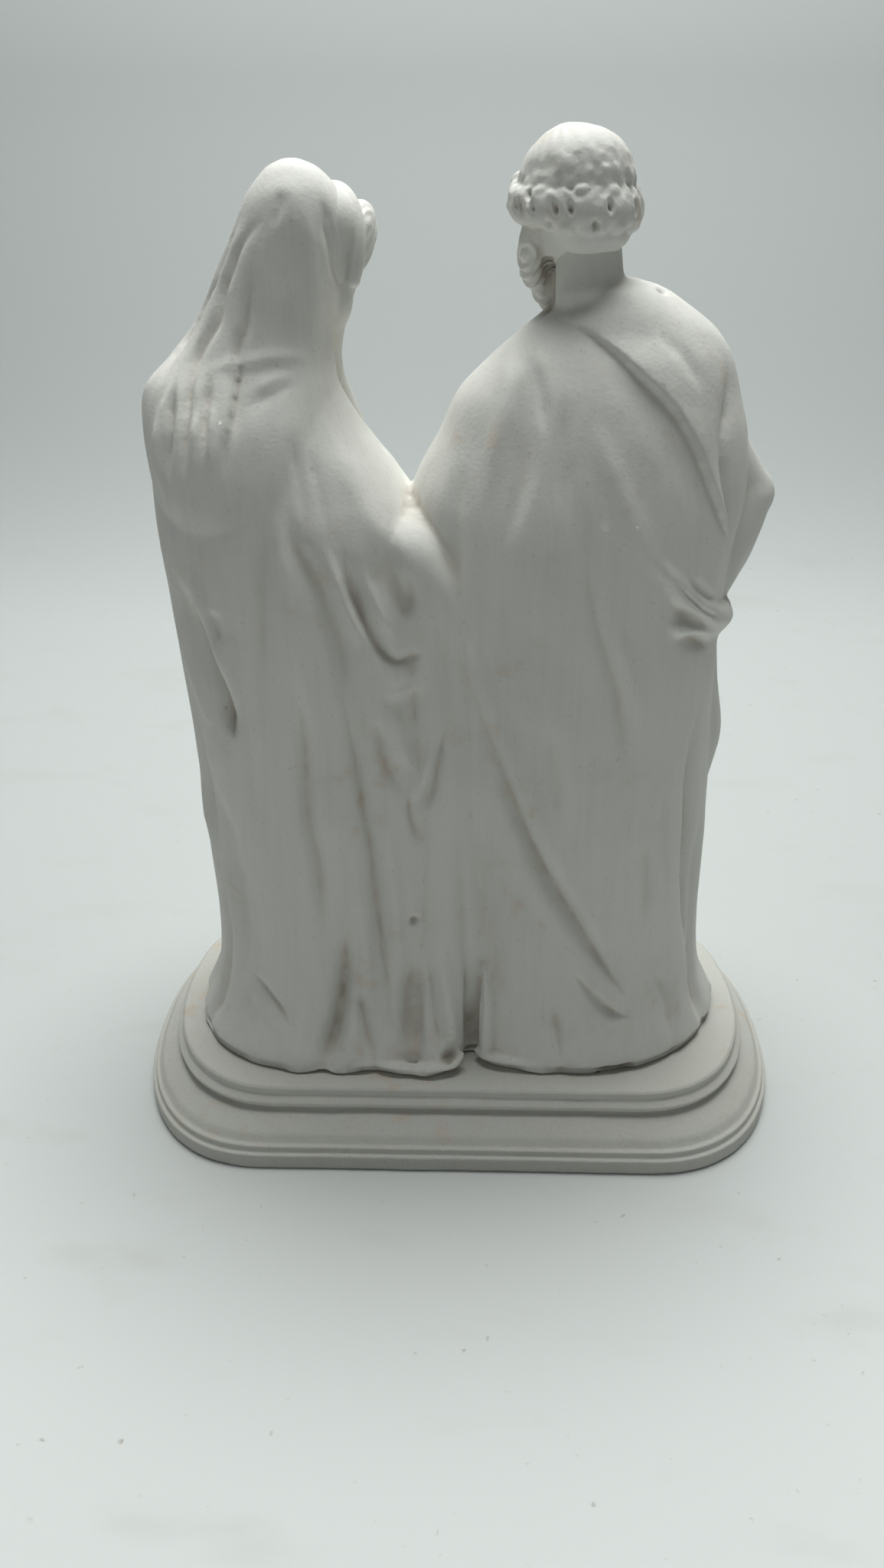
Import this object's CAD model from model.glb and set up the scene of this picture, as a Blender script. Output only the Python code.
# Holy family figurine, seen from behind and above. Mother, father and child are one white casting that
# stands on a moulded plinth. Both pieces are modelled here in millimetres and put into the scene in metres.
import math
import time

import bpy
import numpy as np
from mathutils import Matrix, Vector


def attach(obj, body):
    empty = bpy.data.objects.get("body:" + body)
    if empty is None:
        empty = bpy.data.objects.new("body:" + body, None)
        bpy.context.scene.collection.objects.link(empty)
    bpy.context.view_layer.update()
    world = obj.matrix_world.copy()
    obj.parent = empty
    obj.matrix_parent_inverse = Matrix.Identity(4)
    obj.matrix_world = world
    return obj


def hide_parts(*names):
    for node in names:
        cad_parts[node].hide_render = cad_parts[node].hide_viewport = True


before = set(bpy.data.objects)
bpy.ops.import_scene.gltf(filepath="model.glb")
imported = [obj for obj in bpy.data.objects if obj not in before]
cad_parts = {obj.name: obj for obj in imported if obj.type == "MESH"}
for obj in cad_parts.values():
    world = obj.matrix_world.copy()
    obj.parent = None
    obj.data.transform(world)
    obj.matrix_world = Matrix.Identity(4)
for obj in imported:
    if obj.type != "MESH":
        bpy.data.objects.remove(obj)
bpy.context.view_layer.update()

mm = 0.001
started = time.time()


def say(words):
    print(f"[{time.time() - started:6.1f} s] {words}")


def smoothStep(low, high, value):
    # 0 below low, 1 above high, and a cubic ease between them
    t = np.clip((value - low) / (high - low), 0.0, 1.0)
    return t * t * (3.0 - 2.0 * t)


def hump(value, width):
    # bell curve: e to the minus (value / width) squared
    return np.exp(-(value / width) ** 2)


def throughPoints(points, count):
    # Catmull-Rom spline through the points, sampled at count even steps of its parameter
    points = np.asarray(points, float)
    padded = np.vstack([2 * points[0] - points[1], points, 2 * points[-1] - points[-2]])
    place = np.linspace(0, len(points) - 1, count)
    i = np.minimum(place.astype(int), len(points) - 2)
    t = (place - i)[:, None]
    a, b, c, d = padded[i], padded[i + 1], padded[i + 2], padded[i + 3]
    return 0.5 * (2 * b + (c - a) * t + (2 * a - 5 * b + 4 * c - d) * t**2 + (3 * b - a - 3 * c + d) * t**3)


def throughStations(stations, z):
    # cubic Hermite curve for each column of the stations, whose first column is the height
    table = np.asarray(stations, float)
    height = table[:, 0]
    slope = np.gradient(table, height, axis=0)
    slope[1:-1] = (table[2:] - table[:-2]) / (height[2:] - height[:-2])[:, None]
    i = np.clip(np.searchsorted(height, z) - 1, 0, len(height) - 2)
    span = (height[i + 1] - height[i])[:, None]
    t = np.clip((z - height[i])[:, None] / span, 0, 1)
    return (
        (2 * t**3 - 3 * t**2 + 1) * table[i]
        + (t**3 - 2 * t**2 + t) * span * slope[i]
        + (3 * t**2 - 2 * t**3) * table[i + 1]
        + (t**3 - t**2) * span * slope[i + 1]
    )


def cloudNoise(points, size, seed):
    # value noise: random numbers on a lattice with cells of the given size, eased between the corners
    rng = np.random.default_rng(seed)
    lattice = rng.uniform(-1, 1, (32, 32, 32))
    place = np.asarray(points, float) / np.asarray(size, float) + 100.0
    cell = np.floor(place).astype(int)
    t = place - cell
    t = t * t * (3 - 2 * t)
    total = np.zeros(len(place))
    for corner in np.ndindex(2, 2, 2):
        weight = np.prod(np.where(corner, t, 1 - t), axis=1)
        index = (cell + corner) % 32
        total += weight * lattice[index[:, 0], index[:, 1], index[:, 2]]
    return total


def wallFaces(rows, around, steps):
    # two triangles for each cell of a grid that is closed round its second axis
    row, k = (index.ravel() for index in np.meshgrid(np.arange(steps), np.arange(around), indexing="ij"))
    low, high, beside = row * around, (row + 1) % rows * around, (k + 1) % around
    a, b, c, d = low + k, low + beside, high + beside, high + k
    return np.vstack([np.column_stack([a, b, c]), np.column_stack([a, c, d])])


def closedGrid(grid):
    # a tube of points, with a fan of triangles over each end
    rows, around = grid.shape[:2]
    points = np.vstack([grid.reshape(-1, 3), grid[0].mean(0), grid[-1].mean(0)])
    k = np.arange(around)
    foot, crown, top = rows * around, rows * around + 1, (rows - 1) * around
    low = np.column_stack([np.full(around, foot), (k + 1) % around, k])
    high = np.column_stack([np.full(around, crown), top + k, top + (k + 1) % around])
    return points, np.vstack([wallFaces(rows, around, rows - 1), low, high])


def ringGrid(grid):
    # a ring of points that is closed both ways
    rows, around = grid.shape[:2]
    return grid.reshape(-1, 3), wallFaces(rows, around, rows)


def drapedForm(stations, rows=300, around=300):
    # at each height a superellipse: x = half * cos^(2/power), y = reach * sin^(2/power)
    low, high = stations[0][0], stations[-1][0]
    t = np.linspace(0, 1, rows)
    z = low + (high - low) * (t + 0.03 * np.sin(2 * np.pi * t))
    x, y, half, back, front, power = throughStations(stations, z)[:, 1:].T[:, :, None]
    angle = np.linspace(0, 2 * np.pi, around, endpoint=False)[None, :]
    c, s = np.cos(angle), np.sin(angle)
    reach = np.where(s > 0, back, front)
    grid = np.stack([
        x + half * np.sign(c) * np.abs(c) ** (2 / power),
        y + reach * np.sign(s) * np.abs(s) ** (2 / power),
        z[:, None] + 0 * angle,
    ], axis=-1)
    return closedGrid(grid)


def limbForm(spine, radii, flat=1.0, rows=40, around=28):
    # circles of the given radii carried along a spline, closed by half balls; flat squashes them sideways
    path = throughPoints(spine, rows)
    radius = throughPoints(np.column_stack([radii, radii]), rows)[:, 0]
    cap = np.linspace(-np.pi / 2, 0, 7)[:-1]
    tangent = np.gradient(path, axis=0)
    tangent /= np.linalg.norm(tangent, axis=1, keepdims=True)
    path = np.vstack([
        path[0] + tangent[0] * radius[0] * np.sin(cap)[:, None],
        path,
        path[-1] + tangent[-1] * radius[-1] * np.sin(-cap[::-1])[:, None],
    ])
    radius = np.concatenate([radius[0] * np.cos(cap), radius, radius[-1] * np.cos(cap[::-1])])
    radius = np.maximum(radius, 0.02)
    tangent = np.vstack([np.repeat(tangent[:1], 6, 0), tangent, np.repeat(tangent[-1:], 6, 0)])
    side = np.cross(tangent, [0.02, 0.99, 0.12])
    side /= np.linalg.norm(side, axis=1, keepdims=True)
    other = np.cross(tangent, side)
    angle = np.linspace(0, 2 * np.pi, around, endpoint=False)[None, :, None]
    r = radius[:, None, None]
    grid = path[:, None] + side[:, None] * r * np.cos(angle) + other[:, None] * r * flat * np.sin(angle)
    return closedGrid(grid)


def ballForm(centre, size, rows=24, around=32):
    # an ellipsoid with its own half sizes along x, y and z
    up = np.linspace(-np.pi / 2, np.pi / 2, rows)[1:-1, None]
    angle = np.linspace(0, 2 * np.pi, around, endpoint=False)[None, :]
    grid = np.stack([np.cos(up) * np.cos(angle), np.cos(up) * np.sin(angle), np.sin(up) + 0 * angle], axis=-1)
    return closedGrid(grid * size + centre)


def meshOf(name, points, faces):
    # triangles straight from arrays
    mesh = bpy.data.meshes.new(name)
    mesh.vertices.add(len(points))
    mesh.vertices.foreach_set("co", np.asarray(points, np.float32).ravel())
    mesh.loops.add(3 * len(faces))
    mesh.loops.foreach_set("vertex_index", np.asarray(faces, np.int32).ravel())
    mesh.polygons.add(len(faces))
    mesh.polygons.foreach_set("loop_start", np.arange(0, 3 * len(faces), 3, dtype=np.int32))
    mesh.update(calc_edges=True)
    mesh.validate()
    return mesh


def withModifier(mesh, kind, **settings):
    # runs one modifier on a mesh and gives back the result as a new mesh
    holder = bpy.data.objects.new("holder", mesh)
    bpy.context.collection.objects.link(holder)
    modifier = holder.modifiers.new("step", kind)
    for key, value in settings.items():
        setattr(modifier, key, value)
    view = bpy.context.evaluated_depsgraph_get()
    result = bpy.data.meshes.new_from_object(holder.evaluated_get(view))
    bpy.data.objects.remove(holder)
    bpy.data.meshes.remove(mesh)
    return result


def gathered(name, forms):
    # one mesh from several pairs of points and faces
    counts = np.cumsum([0] + [len(points) for points, faces in forms])
    points = np.vstack([points for points, faces in forms])
    return meshOf(name, points, np.vstack([faces + count for (_, faces), count in zip(forms, counts)]))


def welded(forms, voxel):
    # all forms as one skin, by a voxel remesh
    return withModifier(gathered("forms", forms), "REMESH", mode="VOXEL", voxel_size=voxel, adaptivity=0.0)


def readArray(items, attribute, columns, kind=np.float32):
    # one attribute of all vertices, edges or triangles, as rows of the given number of columns
    flat = np.empty(columns * len(items), kind)
    items.foreach_get(attribute, flat)
    return flat.reshape(-1, columns)


def coords(mesh):
    return readArray(mesh.vertices, "co", 3).astype(float)


def setCoords(mesh, points):
    mesh.vertices.foreach_set("co", np.asarray(points, np.float32).ravel())
    mesh.update()


def normalsOf(mesh):
    return readArray(mesh.vertex_normals, "vector", 3).astype(float)


def edgesOf(mesh):
    return readArray(mesh.edges, "vertices", 2, np.int32)


def eased(values, edges, turns, share=0.5):
    # each value moves a share of the way to the mean of its neighbours, as many turns as asked
    values = values.reshape(len(values), -1).copy()
    count = len(values)
    a, b = edges[:, 0], edges[:, 1]
    degree = np.maximum(np.bincount(edges.ravel(), minlength=count), 1)
    for _ in range(turns):
        for column in values.T:
            total = np.bincount(a, column[b], count) + np.bincount(b, column[a], count)
            column += share * (total / degree - column)
    return values


# Each view: the axis looked along, the sign of the side that is seen, and the axis that runs across.
views = {"back": (1, 1.0, 0), "front": (1, -1.0, 0), "left": (0, 1.0, 1), "right": (0, -1.0, 1)}

# The relief map's cell, its half width, its height, and the depth of a cell that holds no skin.
reliefGrid = {"cell": 1.5, "half": 130, "height": 310, "empty": -999.0, "fills": 12}


def cellsOf(across, up):
    # the cells of the relief map that hold the given places
    cell = reliefGrid["cell"]
    return ((across + reliefGrid["half"]) / cell).astype(int), (up / cell).astype(int)


def reliefMap(points, normals, view):
    # the outermost skin point in each cell, seen along one axis, with empty cells filled from beside
    axis, sign, across = views[view]
    facing = normals[:, axis] * sign > 0.05
    shape = (int(2 * reliefGrid["half"] / reliefGrid["cell"]), int(reliefGrid["height"] / reliefGrid["cell"]))
    depth = np.full(shape, reliefGrid["empty"])
    np.maximum.at(depth, cellsOf(points[facing, across], points[facing, 2]), points[facing, axis] * sign)
    for _ in range(reliefGrid["fills"]):
        best = np.maximum.reduce([np.roll(depth, s, a) for a in (0, 1) for s in (-1, 1)])
        depth = np.where(depth == reliefGrid["empty"], best, depth)
    return depth


def lifted(path, view, depth):
    # puts a flat path on to the skin, and eases its depth along its length
    axis, sign, across = views[view]
    u, v = cellsOf(path[:, 0], path[:, 1])
    reach = depth[np.clip(u, 0, depth.shape[0] - 1), np.clip(v, 0, depth.shape[1] - 1)]
    good = reach > reliefGrid["empty"]
    reach = np.interp(np.arange(len(reach)), np.flatnonzero(good), reach[good])
    reach = np.convolve(np.pad(reach, 2, mode="edge"), np.ones(5) / 5, mode="valid")
    placed = np.empty((len(path), 3))
    placed[:, axis] = reach * sign
    placed[:, across] = path[:, 0]
    placed[:, 2] = path[:, 1]
    return placed


def creaseShape(d, width):
    # a sharp valley: minus e to the minus distance / width, with a slightly rounded floor
    return -np.exp(-(np.sqrt(d * d + 0.1 * width * width) - 0.32 * width) / width)


def lapShape(d, width):
    # the edge of a cloth that lies over another, with the raised side where d is over 0
    raised = 0.5 * (1 + np.tanh(d / (0.3 * width)))
    upper = np.exp(-np.maximum(d, 0) / (3.5 * width))
    lower = np.exp(-np.maximum(-d, 0) / (1.4 * width))
    return raised * upper - (1 - raised) * lower


def strokeOf(shape):
    # a function that makes strokes with one cross section: it takes the width, the depth, the points of the
    # path, and the shares of its length over which the stroke fades in and out
    return lambda width, depth, *path, fades=(0.33, 0.42): (shape, width, depth, path, fades)


ridge = strokeOf(hump)
valley = strokeOf(lambda d, width: -hump(d, width))
crease = strokeOf(creaseShape)
lap = strokeOf(lapShape)
toHem = (0.3, 0.01)


def strokeRelief(points, normals, depthMap, view, stroke):
    # how far one stroke moves each point: its cross section, faded in and out along its length
    shape, width, depth, path, (fadeIn, fadeOut) = stroke
    axis, sign, across = views[view]
    line = lifted(throughPoints(path, 8 * len(path)), view, depthMap)
    reach = 5.0 * width + 3.0
    inside = np.all((points > line.min(0) - reach) & (points < line.max(0) + reach), axis=1)
    inside &= normals[:, axis] * sign > -0.1
    chosen = np.flatnonzero(inside)
    p = points[chosen]
    start, step = line[:-1], np.diff(line, axis=0)
    length = np.linalg.norm(step, axis=1)
    run = np.concatenate([[0], np.cumsum(length)])
    best = np.full(len(p), 1e9)
    side = np.zeros(len(p))
    along = np.zeros(len(p))
    for k in range(len(step)):
        t = np.clip(((p - start[k]) @ step[k]) / (length[k] ** 2 + 1e-9), 0, 1)
        off = p - start[k] - t[:, None] * step[k]
        far = np.linalg.norm(off, axis=1)
        near = far < best
        turn = np.einsum("ij,ij->i", np.cross(step[k], off), normals[chosen])
        best = np.where(near, far, best)
        side = np.where(near, turn, side)
        along = np.where(near, (run[k] + t * length[k]) / run[-1], along)
    fade = smoothStep(0, fadeIn, along) * (1 - smoothStep(1 - fadeOut, 1, along))
    section = shape(best * np.sign(side), width * (0.55 + 0.45 * fade))
    facing = smoothStep(-0.1, 0.25, normals[chosen, axis] * sign)
    result = np.zeros(len(points))
    result[chosen] = depth * fade * section * facing
    return result


def carve(points, normals, strokes):
    # the sum of all strokes, view by view
    total = np.zeros(len(points))
    for view, rows in strokes.items():
        depthMap = reliefMap(points, normals, view)
        for stroke in rows:
            total += strokeRelief(points, normals, depthMap, view, stroke)
    return total


# The casting: lengths in mm, and the number of triangles that each part is thinned to.
family = {
    "hem": 24.3,
    "voxel": 0.75,
    "headVoxel": 0.30,
    "faces": {"body": 118000, "father": 30000, "mother": 16000, "child": 8000, "hands": 20000},
    "softening": 5,
    "hemCarving": 0.3,
    "undercut": 2.6,
    "unevenness": 0.35,
}

# height, x, y, half width, reach to the back, reach to the front, power of the outline
motherBody = [
    (24.3, 42, 0, 50.5, 47.5, 45, 2.5),
    (30, 41, 0, 48, 45.5, 43, 2.5),
    (42, 40, 0, 44.5, 41, 40, 2.4),
    (62, 39, 0, 43.5, 38, 37, 2.4),
    (100, 39.6, 0, 44.1, 36, 35, 2.4),
    (140, 42.2, 0, 43.2, 35, 34, 2.4),
    (178, 46.2, 0, 42, 34, 31, 2.4),
    (198, 50.2, -1, 39.8, 33, 28, 2.4),
    (212, 54.9, -2, 35.4, 30, 25, 2.4),
    (224, 59.5, -2, 30.5, 26, 22, 2.3),
    (234, 62, -2, 27.5, 21, 18, 2.2),
    (241, 59, -3, 22, 16, 14, 2.1),
    (247, 53, -4, 13, 11, 9, 2),
]
fatherBody = [
    (24.3, -38, 0, 54, 47, 45, 2),
    (30, -38, 0, 51, 45, 43, 2.05),
    (42, -37.5, 0, 46.5, 41.5, 40, 2.2),
    (62, -36.5, 0, 45, 39, 37, 2.3),
    (100, -34.5, 0, 45.8, 37, 35, 2.3),
    (140, -32.5, 0, 46, 36, 34, 2.3),
    (168, -31.5, 0, 46.5, 35.5, 32, 2.3),
    (190, -33, 0, 46, 35, 29, 2.3),
    (206, -33.3, -1, 48.2, 33.5, 27, 2.3),
    (223, -37.1, -2, 43.7, 30, 25, 2.2),
    (234, -38.1, -3, 39.5, 27, 23, 2.2),
    (243, -41.2, -3, 33.5, 23, 20, 2.1),
    (250, -43, -4, 27, 19, 17, 2.1),
    (256, -43, -4, 19.5, 15.5, 13, 2),
    (260.5, -42, -5, 13, 12, 9, 2),
    (263, -41, -5, 6, 6, 5, 2),
]
between = [
    (24.3, 7, 0, 13.5, 46.5, 42, 2.5),
    (28, 6.8, 0, 13.8, 45.5, 41, 2.5),
    (36, 6, 0, 15, 42, 39, 2.5),
    (60, 3, 0, 18, 36, 34.5, 2.4),
    (100, 3, 0, 19, 32, 31, 2.3),
    (150, 5, 0, 18, 30.5, 29, 2.3),
    (180, 8, 0, 17, 29.5, 26, 2.3),
    (194, 13, 0, 14, 27.5, 21, 2.3),
    (201, 15, 0, 10, 21, 15, 2.2),
    (205, 16, 0, 4, 9, 8, 2),
]
veil = [
    (186, 60, -1, 20, 26, 10, 2.2),
    (198, 61, 0, 25.0, 29.8, 13, 2.3),
    (211, 62, 0.5, 27.4, 30, 15, 2.4),
    (226, 63, 0, 27.6, 27.2, 13, 2.3),
    (236, 62.4, -1, 27, 22.5, 11, 2.2),
    (243, 59.4, -2, 23.2, 19, 9.5, 2.1),
    (252, 55.5, -3, 19.4, 17, 9, 2),
    (264, 50.5, -4, 18, 16, 10, 2),
    (276, 46.6, -5, 15.6, 15.5, 12, 2),
    (284, 46, -5.5, 12.4, 13.4, 11, 2),
    (290, 46.2, -6, 6.8, 8, 7.5, 2),
    (292, 46.4, -6, 2, 2.5, 2.5, 2),
]

# spine points, the radius at each, and how flat the limb is where it isn't round
limbs = {
    "motherLeftSleeve": ([(79, -2, 216), (79, -9, 190), (73, -28, 175), (59, -42, 178)], [9, 13, 13.5, 9]),
    "motherLeftCuff": ([(77, -14, 175), (72, -28, 164), (63, -38, 164)], [11, 9.5, 5.5], 0.8),
    "motherRightSleeve": ([(38, -4, 216), (27, -9, 196), (23, -26, 178), (27, -42, 172)], [9, 13, 13, 9]),
    "motherRightCuff": ([(24, -22, 173), (25, -33, 164), (27, -40, 161)], [10, 8, 5.5], 0.8),
    "fatherRightArm": ([(-66, -4, 240), (-73.5, -4, 222), (-80.3, -5, 210), (-84.4, -6, 203.5)],
        [8, 6.9, 7.4, 8]),
    "fatherElbowDrape": ([(-83.4, -5, 203), (-79, -1, 190), (-73, 3, 176)], [8.2, 7.6, 6]),
    "fatherNeck": ([(-36, -3, 246), (-33.8, -3, 260), (-32.5, -6, 274)], [13, 10.2, 9.6]),
    "motherNeck": ([(52, -4, 240), (45.4, -6, 255), (41.5, -8, 267)], [12.4, 8.4, 9]),
    "fatherRightSleeve": ([(-80, -6, 203), (-73, -24, 196), (-59, -35, 196), (-47, -39, 199)],
        [9.4, 12, 10.5, 7.6]),
    "fatherRightCuff": ([(-75, -16, 191), (-69, -28, 182), (-57, -35, 183)], [10, 9, 6], 0.8),
    "fatherLeftSleeve": ([(-10, -4, 228), (0, -9, 206), (-2, -26, 190), (-6, -41, 186)], [11, 13, 13, 9]),
    "fatherLeftCuff": ([(-2, -22, 184), (-5, -33, 173), (-5, -41, 171)], [10, 8.5, 5.5], 0.8),
    "swaddling": ([(37, -46, 198), (25, -46.5, 185.5), (9, -47, 180), (-10, -46, 178)], [9.6, 12, 11.4, 8]),
    "swaddlingEnd": ([(-5, -50, 178), (-11, -50, 168), (-12, -48, 157), (-12, -45, 148)],
        [5, 6.4, 6.6, 5], 0.5),
    "fatherMantleFront": ([(-23, -12, 248), (-16, -21, 229), (-12, -29, 207), (-12, -34, 186)],
        [4.5, 6.5, 7, 4.5]),
    "fatherWaistFront": ([(-76, -6, 174), (-64, -26, 166), (-42, -35, 161), (-18, -35, 166),
        (-6, -33, 176)],
        [5, 6.5, 6.2, 5.6, 4]),
    "motherVeilNear": ([(32.5, -2, 263), (33.2, -3, 256), (36.5, -8, 249), (39.5, -14, 236), (35, -21, 216),
        (32, -26, 194)],
        [2, 2.4, 3, 4.6, 5.8, 3.5]),
    "motherVeilFar": ([(44.6, -18.6, 273), (46.6, -19.8, 264), (51, -19, 251), (57.5, -19, 236),
        (64, -21, 215), (69, -23, 190)],
        [1.5, 2.2, 3.6, 5.2, 6.2, 3.5]),
    "motherHem": ([(40, 45.2, 26.2), (24, 45.8, 26.4), (11, 46.8, 26.4), (4.5, 46.2, 26.8), (1, 45, 28),
        (-1.6, 43, 30.5)],
        [1.2, 2.1, 2.3, 2.2, 1.9, 1.3]),
    "fatherHem": ([(-34, 43.4, 26.4), (-20, 42.8, 26.4), (-11, 40.8, 26.8), (-6.8, 38.6, 27.8)],
        [1.6, 2.5, 2.4, 1.8]),
    "fatherHemFold": ([(-9.2, 39, 27), (-9.2, 37.5, 40), (-8.6, 34.5, 58)], [2.4, 2.6, 1.6]),
    "waistRoll": ([(-48, 31, 200), (-56, 30, 191), (-62, 28, 184), (-69, 23, 177), (-77, 8, 171),
        (-76, -12, 172)],
        [1.2, 2.8, 3.2, 3.6, 4.4, 4]),
    "waistRollLow": ([(-56, 30, 176), (-62, 28.5, 174), (-69, 22, 172), (-76, 7, 169), (-75, -10, 170)],
        [0.8, 2.2, 3, 4, 4]),
    "hangingEnd": ([(-71, 2, 172), (-73, 3, 150), (-74.5, 3, 132), (-73.5, 3, 118)], [6, 6.6, 8, 7]),
}

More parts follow.
